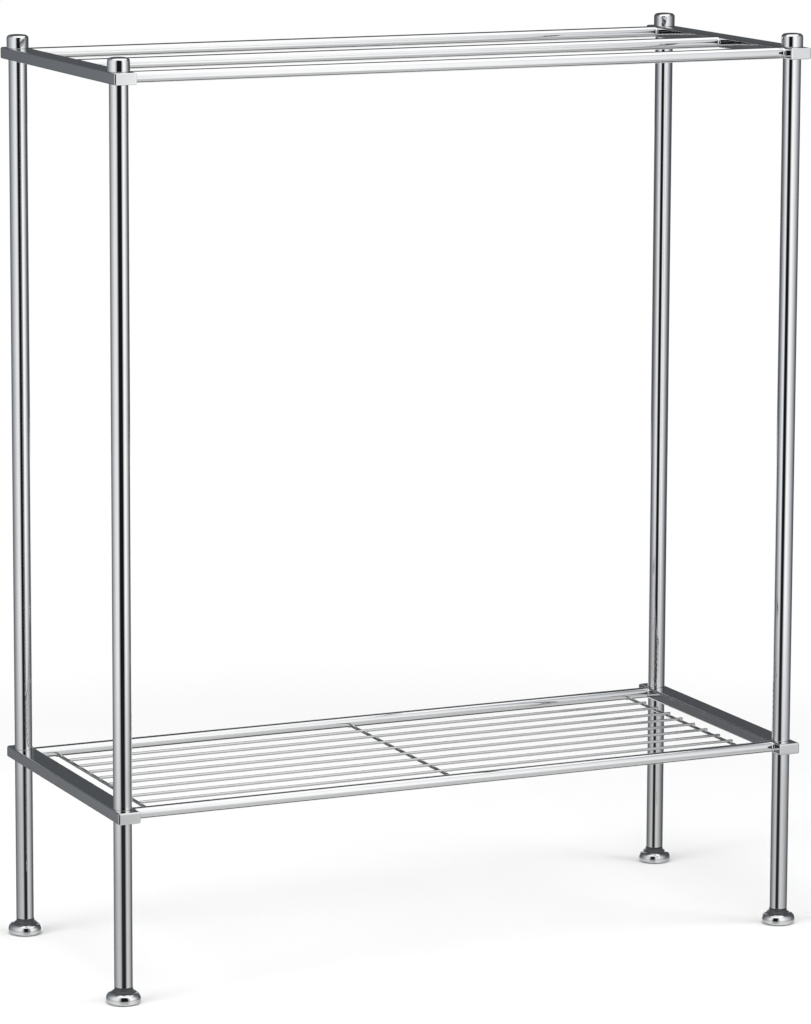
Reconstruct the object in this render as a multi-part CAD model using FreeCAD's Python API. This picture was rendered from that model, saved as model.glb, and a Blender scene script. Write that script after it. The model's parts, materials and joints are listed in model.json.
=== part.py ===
import FreeCAD, Part
import os

from FreeCAD import Vector

# Free-standing towel stand in chromed steel.
# Two welded frames, the top one with three hanging rails and the low one with a wire shelf, are held
# between screwed posts, legs and caps at the four corners. Each leg stands on a levelling foot.
# Frame: millimetres, +X to the right, +Y to the back, +Z up, origin on the floor under the middle.

# Overall layout
POST_SPACING_X = 630.0  # between post axes, left to right
POST_SPACING_Y = 240.0  # between post axes, front to back
STAND_HEIGHT = 800.0  # floor to the crown of the caps
SHELF_HEIGHT = 168.0  # floor to the top faces of the shelf bars

# Posts and legs, round tube
POST_DIAMETER = 16.0
POST_WALL = 1.2

# End bars, rectangular tube closed by a plate at each end
BAR_WIDTH = 20.0
BAR_HEIGHT = 10.0
BAR_WALL = 1.2
BAR_CORNER_RADIUS = 1.6
BAR_OVERHANG = 16.5  # from a post axis to the end face beyond it
END_PLATE_THICKNESS = 2.0
END_PLATE_EDGE_RADIUS = 0.7

# Hanging rails and shelf rails, round tube welded to the inner faces of the bars
RAIL_DIAMETER = 10.0
RAIL_WALL = 1.0

# Wire shelf, long wires pressed into cross wires when they are welded
LONG_WIRE_DIAMETER = 2.5
LONG_WIRE_COUNT = 8
LONG_WIRE_PITCH = 24.0
LONG_WIRE_TAIL = 2.0  # past the axis of an end cross wire
CROSS_WIRE_DIAMETER = 3.0
CROSS_WIRE_INSET = 21.0  # from a bar's inner face to the axis of an end cross wire
CROSS_WIRE_DROP = 3.0  # cross wire axis below the rail axes
WELD_SET_DOWN = 0.4  # how far a long wire sinks into a cross wire

# Screwed joints in the corners
STUD_DIAMETER = 6.0
STUD_ENGAGEMENT = 11.0
STUD_HOLE_CLEARANCE = 0.25  # round a stud in a bar
INSERT_LENGTH = 14.0

# Caps
CAP_DIAMETER = 19.0
CAP_HEIGHT = 12.0
CAP_CROWN = 1.0  # rise of the domed top
CAP_EDGE_RADIUS = 3.0
CAP_FOOT_CHAMFER = 0.5
CAP_THREAD_DEPTH = 7.0

# Levelling feet, a turned dome with a moulded collar above it and a pad below
FOOT_DIAMETER = 30.0
FOOT_RIM_HEIGHT = 4.0
FOOT_RIM_CHAMFER = 0.8
FOOT_SHOULDER_RADIUS = 5.0
FOOT_COLLAR_DIAMETER = 16.0
FOOT_COLLAR_LIP = 0.6  # edge of the collar where it sits on the dome
FOOT_COLLAR_HEIGHT = 1.4  # straight part above the flare
FOOT_COLLAR_CHAMFER = 0.4
FOOT_GAP = 0.5  # between the collar and the leg with the foot screwed in
PAD_DIAMETER = 25.0
PAD_THICKNESS = 2.0
PAD_LIP = 0.5  # how far the pad stands out under the foot
SPINDLE_DIAMETER = 8.0
SPINDLE_DEPTH = 9.0  # length held in the foot and its collar
SPINDLE_ENGAGEMENT = 20.0  # length held in the leg
SPINDLE_INSERT_LENGTH = 24.0

# Fits
THREAD_CLEARANCE = 0.05  # round a stud or spindle in its thread
SEAT_CLEARANCE = 0.02  # round a pressed or welded piece

# Places worked out from the sizes above
TOP_BAR_TOP = STAND_HEIGHT - CAP_HEIGHT
TOP_BAR_BOTTOM = TOP_BAR_TOP - BAR_HEIGHT
TOP_RAIL_Z = TOP_BAR_TOP - BAR_HEIGHT / 2
SHELF_BAR_BOTTOM = SHELF_HEIGHT - BAR_HEIGHT
SHELF_RAIL_Z = SHELF_HEIGHT - BAR_HEIGHT / 2
CROSS_WIRE_Z = SHELF_RAIL_Z - CROSS_WIRE_DROP
LONG_WIRE_Z = CROSS_WIRE_Z + (CROSS_WIRE_DIAMETER + LONG_WIRE_DIAMETER) / 2 - WELD_SET_DOWN
RAIL_SPAN = POST_SPACING_X - BAR_WIDTH
CROSS_WIRE_SPREAD = RAIL_SPAN / 2 - CROSS_WIRE_INSET
BAR_LENGTH = POST_SPACING_Y + 2 * BAR_OVERHANG
POST_BORE = POST_DIAMETER - 2 * POST_WALL
FOOT_RADIUS = FOOT_DIAMETER / 2
FOOT_COLLAR_RADIUS = FOOT_COLLAR_DIAMETER / 2
FOOT_SEAT_RADIUS = FOOT_RADIUS - FOOT_SHOULDER_RADIUS
FOOT_FLARE_RADIUS = FOOT_SEAT_RADIUS - FOOT_COLLAR_RADIUS
FOOT_RIM_TOP = PAD_LIP + FOOT_RIM_HEIGHT
FOOT_SEAT_Z = FOOT_RIM_TOP + FOOT_SHOULDER_RADIUS
FOOT_FLARE_BOTTOM = FOOT_SEAT_Z + FOOT_COLLAR_LIP
FOOT_FLARE_TOP = FOOT_FLARE_BOTTOM + FOOT_FLARE_RADIUS
FOOT_TOP = FOOT_FLARE_TOP + FOOT_COLLAR_HEIGHT
FOOT_BORE_RADIUS = SPINDLE_DIAMETER / 2 + SEAT_CLEARANCE
LEG_BOTTOM = FOOT_TOP + FOOT_GAP

SIDES = {"left": -1, "right": 1}
DEPTHS = {"front": -1, "back": 1}
CORNERS = {
    f"{depth}_{side}": Vector(sx * POST_SPACING_X / 2, sy * POST_SPACING_Y / 2, 0)
    for side, sx in SIDES.items()
    for depth, sy in DEPTHS.items()
}
UP = Vector(0, 0, 1)
ALONG_X = Vector(1, 0, 0)
ALONG_Y = Vector(0, 1, 0)
ARC_MIDPOINT = 0.5**0.5  # sine and cosine of 45 degrees, for the middle of a quarter arc


def save(node, shape):
    """Write one sub-part to its own file."""
    shape.exportStep(f"parts/{node}.step")


def rod(diameter, start, length, direction=UP):
    """Solid round bar from a start point along a direction."""
    return Part.makeCylinder(diameter / 2, length, start, direction)


def tube(diameter, wall, start, length, direction=UP):
    """Round tube from a start point along a direction."""
    return rod(diameter, start, length, direction).cut(rod(diameter - 2 * wall, start, length, direction))


def revolve(edges):
    """Solid turned about Z from an outline of edges in the XZ plane."""
    return Part.Face(Part.Wire(edges)).revolve(Vector(0, 0, 0), UP, 360)


def line(start, end):
    """Straight edge between two (radius, height) points."""
    return Part.makeLine(Vector(start[0], 0, start[1]), Vector(end[0], 0, end[1]))


def quarter_arc(start, centre, radius, out, up):
    """Quarter circle edge from a start point; out and up are the signs of its middle seen from its centre."""
    middle = Vector(centre[0] + out * radius * ARC_MIDPOINT, 0, centre[1] + up * radius * ARC_MIDPOINT)
    first = Vector(start[0], 0, start[1])
    radial = first - Vector(centre[0], 0, centre[1])
    if abs(radial.x) > abs(radial.z):
        last = Vector(centre[0], 0, centre[1] + up * radius)
    else:
        last = Vector(centre[0] + out * radius, 0, centre[1])
    return Part.Arc(first, middle, last).toShape()


def bar_section(width, height, radius, y, z_middle):
    """Rounded rectangular face square to Y, centred on X = 0."""
    x = width / 2
    z = height / 2
    box = Part.makeBox(width, 1, height, Vector(-x, y, z_middle - z))
    if radius > 0:
        box = box.makeFillet(radius, [e for e in box.Edges if abs(e.tangentAt(e.FirstParameter).y) > 0.5])
    return min(box.Faces, key=lambda face: face.CenterOfMass.y)


def bar_tube(z_middle):
    """Rectangular tube along Y on X = 0, between its end plates, with a stud hole at each post."""
    start = -BAR_LENGTH / 2 + END_PLATE_THICKNESS
    run = Vector(0, BAR_LENGTH - 2 * END_PLATE_THICKNESS, 0)
    inner_radius = max(BAR_CORNER_RADIUS - BAR_WALL, 0)
    outer = bar_section(BAR_WIDTH, BAR_HEIGHT, BAR_CORNER_RADIUS, start, z_middle).extrude(run)
    inner_width = BAR_WIDTH - 2 * BAR_WALL
    inner_height = BAR_HEIGHT - 2 * BAR_WALL
    bar = outer.cut(bar_section(inner_width, inner_height, inner_radius, start, z_middle).extrude(run))
    for sy in DEPTHS.values():
        floor = Vector(0, sy * POST_SPACING_Y / 2, z_middle - BAR_HEIGHT / 2)
        bar = bar.cut(rod(STUD_DIAMETER + 2 * STUD_HOLE_CLEARANCE, floor, BAR_HEIGHT))
    return bar


def bar_end_plate(sy, z_middle):
    """Plate that closes a bar's end, with its outer edge eased."""
    inner_y = sy * (BAR_LENGTH / 2 - END_PLATE_THICKNESS)
    section = bar_section(BAR_WIDTH, BAR_HEIGHT, BAR_CORNER_RADIUS, inner_y, z_middle)
    plate = section.extrude(Vector(0, sy * END_PLATE_THICKNESS, 0))
    outer_face = max(plate.Faces, key=lambda face: sy * face.CenterOfMass.y)
    return plate.makeFillet(END_PLATE_EDGE_RADIUS, outer_face.Edges)


def build_bars(prefix, z_middle):
    """The two end bars of a frame and the four plates that close them."""
    bar = bar_tube(z_middle)
    for side, sx in SIDES.items():
        shift = Vector(sx * POST_SPACING_X / 2, 0, 0)
        save(f"{prefix}_bar_{side}", bar.translated(shift))
        for depth, sy in DEPTHS.items():
            save(f"{prefix}_bar_end_{depth}_{side}", bar_end_plate(sy, z_middle).translated(shift))


def rail(y, z):
    """Round rail from bar to bar."""
    return tube(RAIL_DIAMETER, RAIL_WALL, Vector(-RAIL_SPAN / 2, y, z), RAIL_SPAN, ALONG_X)


def build_rails():
    """Three hanging rails between the top bars and two rails that carry the shelf."""
    for place, sy in {"front": -1, "middle": 0, "back": 1}.items():
        save(f"hanging_rail_{place}", rail(sy * POST_SPACING_Y / 2, TOP_RAIL_Z))
    for depth, sy in DEPTHS.items():
        save(f"shelf_rail_{depth}", rail(sy * POST_SPACING_Y / 2, SHELF_RAIL_Z))


def long_wire(index, clearance=0.0):
    """One long wire of the shelf, counted from the front."""
    y = (index - (LONG_WIRE_COUNT - 1) / 2) * LONG_WIRE_PITCH
    half = CROSS_WIRE_SPREAD + LONG_WIRE_TAIL
    return rod(LONG_WIRE_DIAMETER + 2 * clearance, Vector(-half, y, LONG_WIRE_Z), 2 * half, ALONG_X)


def cross_wire(x):
    """One cross wire with its ends shaped to the rails and a seat for each long wire."""
    wire = rod(CROSS_WIRE_DIAMETER, Vector(x, -POST_SPACING_Y / 2, CROSS_WIRE_Z), POST_SPACING_Y, ALONG_Y)
    for sy in DEPTHS.values():
        rail_start = Vector(-RAIL_SPAN / 2, sy * POST_SPACING_Y / 2, SHELF_RAIL_Z)
        wire = wire.cut(rod(RAIL_DIAMETER + 2 * SEAT_CLEARANCE, rail_start, RAIL_SPAN, ALONG_X))
    seats = [long_wire(index, SEAT_CLEARANCE) for index in range(LONG_WIRE_COUNT)]
    return wire.cut(Part.makeCompound(seats))


def build_shelf_wires():
    """The wire shelf between the shelf rails."""
    for index in range(LONG_WIRE_COUNT):
        save(f"shelf_wire_{index + 1}", long_wire(index))
    for place, sx in {"left": -1, "centre": 0, "right": 1}.items():
        save(f"shelf_cross_wire_{place}", cross_wire(sx * CROSS_WIRE_SPREAD))


def insert(z, length, thread):
    """Threaded insert pressed into a tube end."""
    body = rod(POST_BORE - 2 * SEAT_CLEARANCE, Vector(0, 0, z), length)
    return body.cut(rod(thread + 2 * THREAD_CLEARANCE, Vector(0, 0, z), length))


def at_corners(shape):
    """The same piece at each of the four corners, as separate solids."""
    return Part.makeCompound([shape.translated(corner) for corner in CORNERS.values()])


def build_uprights():
    """Posts, legs, and the inserts and studs that join them to the bars."""
    post = tube(POST_DIAMETER, POST_WALL, Vector(0, 0, SHELF_HEIGHT), TOP_BAR_BOTTOM - SHELF_HEIGHT)
    leg = tube(POST_DIAMETER, POST_WALL, Vector(0, 0, LEG_BOTTOM), SHELF_BAR_BOTTOM - LEG_BOTTOM)
    for corner, place in CORNERS.items():
        save(f"post_{corner}", post.translated(place))
        save(f"leg_{corner}", leg.translated(place))
    save("post_top_inserts", at_corners(insert(TOP_BAR_BOTTOM - INSERT_LENGTH, INSERT_LENGTH, STUD_DIAMETER)))
    save("post_bottom_inserts", at_corners(insert(SHELF_HEIGHT, INSERT_LENGTH, STUD_DIAMETER)))
    save("leg_top_inserts", at_corners(insert(SHELF_BAR_BOTTOM - INSERT_LENGTH, INSERT_LENGTH, STUD_DIAMETER)))
    save("leg_bottom_inserts", at_corners(insert(LEG_BOTTOM, SPINDLE_INSERT_LENGTH, SPINDLE_DIAMETER)))
    stud_length = BAR_HEIGHT + 2 * STUD_ENGAGEMENT
    save("leg_studs", at_corners(rod(STUD_DIAMETER, Vector(0, 0, SHELF_BAR_BOTTOM - STUD_ENGAGEMENT), stud_length)))


def cap():
    """Domed cap above a top bar, on Z, with a blind thread for its stud."""
    radius = CAP_DIAMETER / 2
    shoulder = STAND_HEIGHT - CAP_CROWN
    crown_middle = Vector(radius / 2, 0, STAND_HEIGHT - CAP_CROWN / 4)
    crown = Part.Arc(Vector(radius, 0, shoulder), crown_middle, Vector(0, 0, STAND_HEIGHT)).toShape()
    body = revolve([
        line((0, TOP_BAR_TOP), (radius - CAP_FOOT_CHAMFER, TOP_BAR_TOP)),
        line((radius - CAP_FOOT_CHAMFER, TOP_BAR_TOP), (radius, TOP_BAR_TOP + CAP_FOOT_CHAMFER)),
        line((radius, TOP_BAR_TOP + CAP_FOOT_CHAMFER), (radius, shoulder)),
        crown,
        line((0, STAND_HEIGHT), (0, TOP_BAR_TOP)),
    ])
    top_edge = [e for e in body.Edges if e.Closed and abs(e.CenterOfMass.z - shoulder) < CAP_CROWN / 10]
    body = body.makeFillet(CAP_EDGE_RADIUS, top_edge)
    thread = STUD_DIAMETER + 2 * THREAD_CLEARANCE
    return body.cut(rod(thread, Vector(0, 0, TOP_BAR_TOP), CAP_THREAD_DEPTH))


def build_caps():
    """Caps that clamp the top bars to the posts, and their studs."""
    shape = cap()
    for corner, place in CORNERS.items():
        save(f"cap_{corner}", shape.translated(place))
    stud_bottom = TOP_BAR_BOTTOM - STUD_ENGAGEMENT
    stud_top = TOP_BAR_TOP + CAP_THREAD_DEPTH
    save("cap_studs", at_corners(rod(STUD_DIAMETER, Vector(0, 0, stud_bottom), stud_top - stud_bottom)))


def foot():
    """Domed foot on Z: rim, rounded shoulder and flat seat for its collar, recessed below for its pad."""
    pad_radius = PAD_DIAMETER / 2 + SEAT_CLEARANCE
    bore_floor = FOOT_TOP - SPINDLE_DEPTH
    shoulder_start = (FOOT_RADIUS, FOOT_RIM_TOP)
    shoulder_centre = (FOOT_SEAT_RADIUS, FOOT_RIM_TOP)
    return revolve([
        line((0, PAD_THICKNESS), (pad_radius, PAD_THICKNESS)),
        line((pad_radius, PAD_THICKNESS), (pad_radius, PAD_LIP)),
        line((pad_radius, PAD_LIP), (FOOT_RADIUS - FOOT_RIM_CHAMFER, PAD_LIP)),
        line((FOOT_RADIUS - FOOT_RIM_CHAMFER, PAD_LIP), (FOOT_RADIUS, PAD_LIP + FOOT_RIM_CHAMFER)),
        line((FOOT_RADIUS, PAD_LIP + FOOT_RIM_CHAMFER), shoulder_start),
        quarter_arc(shoulder_start, shoulder_centre, FOOT_SHOULDER_RADIUS, 1, 1),
        line((FOOT_SEAT_RADIUS, FOOT_SEAT_Z), (FOOT_BORE_RADIUS, FOOT_SEAT_Z)),
        line((FOOT_BORE_RADIUS, FOOT_SEAT_Z), (FOOT_BORE_RADIUS, bore_floor)),
        line((FOOT_BORE_RADIUS, bore_floor), (0, bore_floor)),
        line((0, bore_floor), (0, PAD_THICKNESS)),
    ])


def foot_collar():
    """Moulded ring round the spindle on Z, flared from the leg's width to the seat on the dome."""
    flare_start = (FOOT_SEAT_RADIUS, FOOT_FLARE_BOTTOM)
    flare_centre = (FOOT_SEAT_RADIUS, FOOT_FLARE_TOP)
    chamfer_start = (FOOT_COLLAR_RADIUS, FOOT_TOP - FOOT_COLLAR_CHAMFER)
    chamfer_end = (FOOT_COLLAR_RADIUS - FOOT_COLLAR_CHAMFER, FOOT_TOP)
    return revolve([
        line((FOOT_BORE_RADIUS, FOOT_SEAT_Z), (FOOT_SEAT_RADIUS, FOOT_SEAT_Z)),
        line((FOOT_SEAT_RADIUS, FOOT_SEAT_Z), flare_start),
        quarter_arc(flare_start, flare_centre, FOOT_FLARE_RADIUS, -1, -1),
        line((FOOT_COLLAR_RADIUS, FOOT_FLARE_TOP), chamfer_start),
        line(chamfer_start, chamfer_end),
        line(chamfer_end, (FOOT_BORE_RADIUS, FOOT_TOP)),
        line((FOOT_BORE_RADIUS, FOOT_TOP), (FOOT_BORE_RADIUS, FOOT_SEAT_Z)),
    ])


def build_feet():
    """Levelling feet with their collars, the spindles that screw into the legs and the pads under them."""
    spindle_length = SPINDLE_DEPTH + FOOT_GAP + SPINDLE_ENGAGEMENT
    pieces = {
        "foot": Part.makeCompound([foot(), foot_collar()]),
        "foot_spindle": rod(SPINDLE_DIAMETER, Vector(0, 0, FOOT_TOP - SPINDLE_DEPTH), spindle_length),
        "foot_pad": rod(PAD_DIAMETER, Vector(0, 0, 0), PAD_THICKNESS),
    }
    for corner, place in CORNERS.items():
        for name, shape in pieces.items():
            save(f"{name}_{corner}", shape.translated(place))


os.makedirs("parts", exist_ok=True)
build_bars("top", TOP_RAIL_Z)
build_bars("shelf", SHELF_RAIL_Z)
build_rails()
build_shelf_wires()
build_uprights()
build_caps()
build_feet()
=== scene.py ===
"""Finished looks of a free-standing towel stand in chromed steel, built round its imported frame."""

import json
import logging
import math
from abc import ABC, abstractmethod
from collections.abc import Iterable, Iterator, Sequence
from dataclasses import dataclass
from enum import Enum

import bmesh
import bpy
from bmesh.types import BMEdge, BMesh, BMVert
from bpy.types import Material, Node, NodeSocket, NodeTree, Object
from mathutils import Matrix, Vector

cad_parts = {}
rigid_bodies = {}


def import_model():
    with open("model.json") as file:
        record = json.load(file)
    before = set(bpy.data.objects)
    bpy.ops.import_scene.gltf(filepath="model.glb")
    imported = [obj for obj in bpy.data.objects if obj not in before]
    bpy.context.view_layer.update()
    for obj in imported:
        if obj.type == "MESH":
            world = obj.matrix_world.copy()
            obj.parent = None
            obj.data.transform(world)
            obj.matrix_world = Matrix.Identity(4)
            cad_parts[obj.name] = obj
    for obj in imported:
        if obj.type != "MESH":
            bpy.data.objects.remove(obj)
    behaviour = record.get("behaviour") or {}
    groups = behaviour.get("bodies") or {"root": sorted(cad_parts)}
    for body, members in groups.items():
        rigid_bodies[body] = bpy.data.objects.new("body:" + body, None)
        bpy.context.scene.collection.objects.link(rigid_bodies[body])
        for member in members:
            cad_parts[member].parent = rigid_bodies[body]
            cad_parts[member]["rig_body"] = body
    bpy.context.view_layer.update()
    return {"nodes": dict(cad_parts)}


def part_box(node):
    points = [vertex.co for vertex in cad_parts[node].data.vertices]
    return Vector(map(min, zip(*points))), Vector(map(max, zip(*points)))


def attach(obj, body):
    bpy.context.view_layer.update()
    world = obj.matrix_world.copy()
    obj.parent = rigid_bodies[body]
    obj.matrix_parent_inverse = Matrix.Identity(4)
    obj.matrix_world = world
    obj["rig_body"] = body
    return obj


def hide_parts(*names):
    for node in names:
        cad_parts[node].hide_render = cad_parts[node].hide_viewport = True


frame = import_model()

LOG = logging.getLogger("towel_stand")
MM = 0.001
UP = Vector((0.0, 0.0, 1.0))
ROUND_SEGMENTS = 96
WIRE_SEGMENTS = 32
EASE_SEGMENTS = 5
EASE_SEGMENTS_PER_MM = 3
MERGE_DISTANCE = 0.0005 * MM
CUT_TOLERANCE = 0.1 * MM
END_FACING = 0.9
SHARP_ANGLE = math.radians(50)
MARK_DETAIL = 2.0
FULL_TURN_DEG = 360.0


class Side(Enum):
    """Left or right end of the stand."""

    LEFT = "left"
    RIGHT = "right"

    @property
    def sign(self) -> int:
        """Direction of this side along X."""
        return -1 if self is Side.LEFT else 1


class Depth(Enum):
    """Front or back of the stand."""

    FRONT = "front"
    BACK = "back"

    @property
    def sign(self) -> int:
        """Direction of this side along Y."""
        return -1 if self is Depth.FRONT else 1


CORNERS = [f"{depth.value}_{side.value}" for depth in Depth for side in Side]


class Axis(Enum):
    """Direction that a round piece runs along, with the turn that lays it there from upright."""

    X = Matrix.Rotation(math.pi / 2, 3, "Y")
    Y = Matrix.Rotation(-math.pi / 2, 3, "X")
    Z = Matrix.Identity(3)


class Slot(Enum):
    """Material slots of the record."""

    TUBE = "chrome_tube"
    BAR = "chrome_bar"
    WIRE = "chrome_wire"
    TURNED = "chrome_turned"
    ZINC = "zinc_steel"
    RUBBER = "rubber_pad"


class Lay(Enum):
    """Which way the fine marks of making run; a True axis is one that the marks are crossed along."""

    ALONG_X = (False, True, True)
    ALONG_Y = (True, False, True)
    ALONG_Z = (True, True, False)
    TURNED = (False, False, True)
    NONE = (True, True, True)


# Node trees


def linear(hex_colour: str) -> tuple[float, float, float, float]:
    """Turn an sRGB hex colour into linear RGBA.

    Args:
        hex_colour: Colour such as "#D6D8DA".

    Returns:
        Linear red, green, blue and an alpha of 1.
    """
    channels = [int(hex_colour[i : i + 2], 16) / 255 for i in (1, 3, 5)]
    # The constants are those of the sRGB standard.
    red, green, blue = (c / 12.92 if c <= 0.04045 else ((c + 0.055) / 1.055) ** 2.4 for c in channels)
    return red, green, blue, 1.0


def add_node(
    tree: NodeTree, kind: str, feeds: dict[str, object] | None = None, **settings: object
) -> Node:
    """Add a node with its settings, input values and links.

    Args:
        tree: Tree that takes the node.
        kind: Type of the node.
        feeds: Socket identifiers, each with an output socket to link or a value to set.
        **settings: Properties of the node itself.

    Returns:
        The new node.
    """
    node = tree.nodes.new(kind)
    for name, value in settings.items():
        setattr(node, name, value)
    sockets = {socket.identifier: socket for socket in node.inputs}
    for identifier, feed in (feeds or {}).items():
        if isinstance(feed, NodeSocket):
            tree.links.new(feed, sockets[identifier])
        else:
            sockets[identifier].default_value = feed
    return node


class Finish(ABC):
    """A named surface finish, made into a material once."""

    name: str

    def material(self) -> Material:
        """Find or make the material of this finish.

        Returns:
            The material, shared by every piece that has the finish.
        """
        made = bpy.data.materials.get(self.name)
        if made:
            return made
        made = bpy.data.materials.new(self.name)
        made.use_nodes = True
        made.node_tree.nodes.clear()
        surface = self.surface(made.node_tree)
        add_node(made.node_tree, "ShaderNodeOutputMaterial", {"Surface": surface})
        return made

    @abstractmethod
    def surface(self, tree: NodeTree) -> NodeSocket:
        """Build the shader and return its output socket."""


class MadeSurface(Finish):
    """Finish in two tints and glosses, changing in soft patches, with the fine marks of making in relief."""

    tint: str
    patch_tint: str
    gloss: tuple[float, float]
    patch_size_mm: float
    patch_detail: float
    patch_roughness: float
    patch_span: tuple[float, float]
    mark_depth_mm: float

    @abstractmethod
    def mark_sizes_mm(self) -> list[float]:
        """Sizes of the marks along X, Y and Z."""

    @abstractmethod
    def core(self) -> dict[str, float]:
        """Shader inputs that are the same all over."""

    def surface(self, tree: NodeTree) -> NodeSocket:
        """Build the patches, the marks and the shader.

        Args:
            tree: Tree of the material.

        Returns:
            Output socket of the shader.
        """
        place = add_node(tree, "ShaderNodeTexCoord").outputs["Object"]
        patches = add_node(
            tree,
            "ShaderNodeTexNoise",
            {
                "Vector": place,
                "Scale": 1 / (self.patch_size_mm * MM),
                "Detail": self.patch_detail,
                "Roughness": self.patch_roughness,
            },
        ).outputs["Fac"]
        stretched = add_node(
            tree,
            "ShaderNodeMapping",
            {"Vector": place, "Scale": [1 / (size * MM) for size in self.mark_sizes_mm()]},
        ).outputs["Vector"]
        marks = add_node(
            tree, "ShaderNodeTexNoise", {"Vector": stretched, "Scale": 1.0, "Detail": MARK_DETAIL}
        ).outputs["Fac"]
        relief = add_node(
            tree, "ShaderNodeBump", {"Height": marks, "Strength": 1.0, "Distance": self.mark_depth_mm * MM}
        ).outputs["Normal"]
        colour = add_node(
            tree,
            "ShaderNodeMix",
            {"Factor_Float": patches, "A_Color": linear(self.tint), "B_Color": linear(self.patch_tint)},
            data_type="RGBA",
        )
        roughness = add_node(
            tree,
            "ShaderNodeMapRange",
            {
                "Value": patches,
                "From Min": self.patch_span[0],
                "From Max": self.patch_span[1],
                "To Min": self.gloss[0],
                "To Max": self.gloss[1],
            },
        ).outputs["Result"]
        shader = add_node(
            tree,
            "ShaderNodeBsdfPrincipled",
            {
                "Base Color": next(s for s in colour.outputs if s.identifier == "Result_Color"),
                "Roughness": roughness,
                "Normal": relief,
                **self.core(),
            },
        )
        return shader.outputs["BSDF"]


@dataclass(frozen=True)
class ChromePlate(MadeSurface):
    """Bright nickel and chromium plate on polished steel."""

    name: str
    lay: Lay
    # The plate mirrors its surroundings with no colour of its own, a little darker than silver does.
    # A faint haze lies on it in patches.
    tint: str = "#E3E3E3"
    patch_tint: str = "#DBDCDD"
    gloss: tuple[float, float] = (0.035, 0.075)
    patch_size_mm: float = 18.0
    patch_detail: float = 3.0
    patch_roughness: float = 0.6
    patch_span: tuple[float, float] = (0.35, 0.7)
    # Polishing lines are finer than this; they are drawn coarse enough to break up a reflection's edge.
    line_spacing_mm: float = 1.2
    line_length_mm: float = 60.0
    mark_depth_mm: float = 0.0008

    def mark_sizes_mm(self) -> list[float]:
        """Spacing of the polishing lines across them, and their length along them."""
        return [self.line_spacing_mm if across else self.line_length_mm for across in self.lay.value]

    def core(self) -> dict[str, float]:
        """Bare metal all over."""
        return {"Metallic": 1.0}


@dataclass(frozen=True)
class ZincPlate(MadeSurface):
    """Bright zinc electroplate on machined steel."""

    name: str = "zinc_plated_machined_steel"
    # Zinc is greyer and softer than chrome, with a faint blue bloom in patches.
    tint: str = "#B4B9BE"
    patch_tint: str = "#9DA6B0"
    gloss: tuple[float, float] = (0.24, 0.42)
    patch_size_mm: float = 4.0
    patch_detail: float = 2.0
    patch_roughness: float = 0.5
    patch_span: tuple[float, float] = (0.3, 0.7)
    grit_mm: float = 0.5
    mark_depth_mm: float = 0.004

    def mark_sizes_mm(self) -> list[float]:
        """Size of the grit, the same every way."""
        return [self.grit_mm] * 3

    def core(self) -> dict[str, float]:
        """Bare metal all over."""
        return {"Metallic": 1.0}


@dataclass(frozen=True)
class MouldedRubber(MadeSurface):
    """Moulded synthetic rubber of the pads and collars."""

    name: str = "moulded_synthetic_rubber"
    # Rubber is a dull near-black that greys where it has been scuffed.
    tint: str = "#1D1D1F"
    patch_tint: str = "#38383A"
    gloss: tuple[float, float] = (0.62, 0.85)
    patch_size_mm: float = 5.0
    patch_detail: float = 4.0
    patch_roughness: float = 0.5
    patch_span: tuple[float, float] = (0.3, 0.7)
    grain_mm: float = 0.6
    mark_depth_mm: float = 0.03
    rubber_ior: float = 1.52

    def mark_sizes_mm(self) -> list[float]:
        """Size of the moulded grain, the same every way."""
        return [self.grain_mm] * 3

    def core(self) -> dict[str, float]:
        """Index of refraction of rubber."""
        return {"IOR": self.rubber_ior}


UPRIGHT_CHROME = ChromePlate("chrome_plated_steel_tube_upright", Lay.ALONG_Z)
RAIL_CHROME = ChromePlate("chrome_plated_steel_tube_rail", Lay.ALONG_X)
BAR_CHROME = ChromePlate(
    "chrome_plated_steel_bar",
    Lay.ALONG_Y,
    gloss=(0.05, 0.10),
    line_spacing_mm=2.5,
    line_length_mm=90.0,
    mark_depth_mm=0.0012,
)
PLATE_CHROME = ChromePlate("chrome_plated_steel_end_plate", Lay.ALONG_X, gloss=(0.06, 0.12))
# Drawn wire isn't polished before plating, so it is a little greyer and softer than the tube.
WIRE_LOOK = {"tint": "#CDCDCE", "patch_tint": "#C2C3C4", "gloss": (0.06, 0.12)}
LONG_WIRE_CHROME = ChromePlate("chrome_plated_drawn_wire_long", Lay.ALONG_X, **WIRE_LOOK)
CROSS_WIRE_CHROME = ChromePlate("chrome_plated_drawn_wire_cross", Lay.ALONG_Y, **WIRE_LOOK)
TURNED_CHROME = ChromePlate("chrome_plated_turned_steel", Lay.TURNED, line_spacing_mm=0.8)
WELD_CHROME = ChromePlate(
    "chrome_plated_weld_metal",
    Lay.NONE,
    gloss=(0.10, 0.22),
    patch_size_mm=3.0,
    line_spacing_mm=0.9,
    mark_depth_mm=0.02,
)
ZINC = ZincPlate()
PAD_RUBBER = MouldedRubber()
# The collars are satin, so that they grey a little beside the bright foot.
COLLAR_RUBBER = MouldedRubber(
    "moulded_satin_rubber", tint="#343537", patch_tint="#4A4B4D", gloss=(0.36, 0.52), mark_depth_mm=0.01
)


# Forms


@dataclass(frozen=True)
class Extent:
    """Lowest and highest corner of a node of the frame, in metres."""

    low: Vector
    high: Vector

    @classmethod
    def of(cls, node: str) -> "Extent":
        """Extent of a named node."""
        return cls(*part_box(node))

    @property
    def middle(self) -> Vector:
        """Point half way between the corners."""
        return (self.low + self.high) / 2

    @property
    def size(self) -> Vector:
        """Lengths of the edges."""
        return self.high - self.low


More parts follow.
